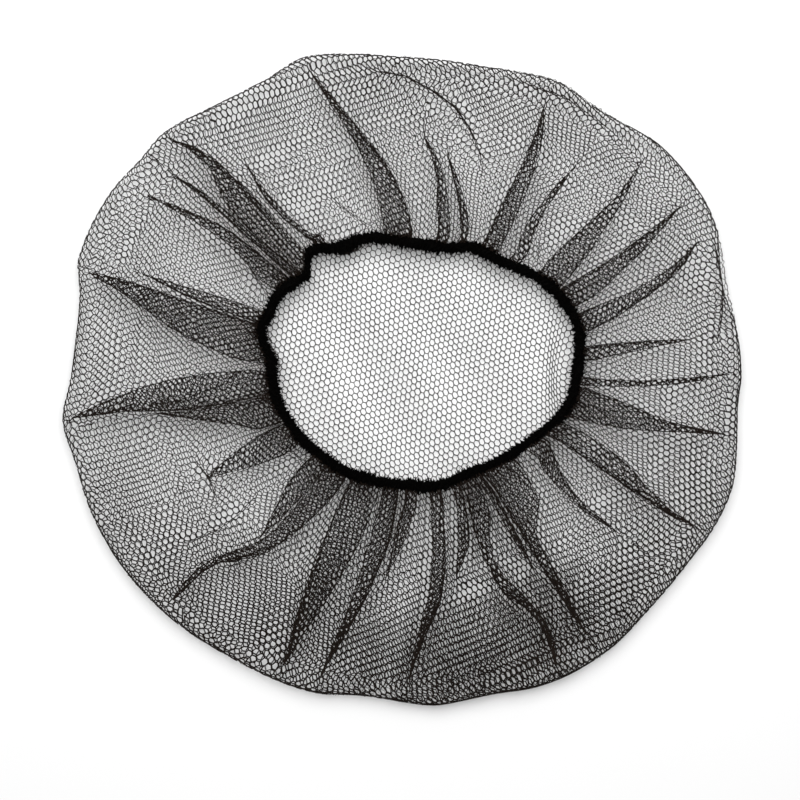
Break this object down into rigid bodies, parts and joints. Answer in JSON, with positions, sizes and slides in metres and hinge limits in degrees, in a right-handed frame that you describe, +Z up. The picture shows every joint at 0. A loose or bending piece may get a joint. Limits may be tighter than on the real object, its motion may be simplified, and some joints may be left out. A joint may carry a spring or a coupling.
{
  "type": "hairnet",
  "caption": "Bouffant hairnet of fine knitted netting, lying flat with its gathered elastic edge and head opening facing up.",
  "frame": {"origin": "on the surface it lies on, under the middle of its outline", "axes": "+Z up, out of the head opening; +X across the longer side of the opening"},
  "size_m": [0.3398, 0.3264, 0.0172],
  "materials": {
    "net": "fine black knitted nylon netting, matt with a slight sheen",
    "elastic_edge": "black fabric-covered elastic, matt and slightly fuzzy"
  },
  "bodies": {
    "root": {"net": "net", "elastic_edge": "elastic_edge"}
  },
  "joints": []
}
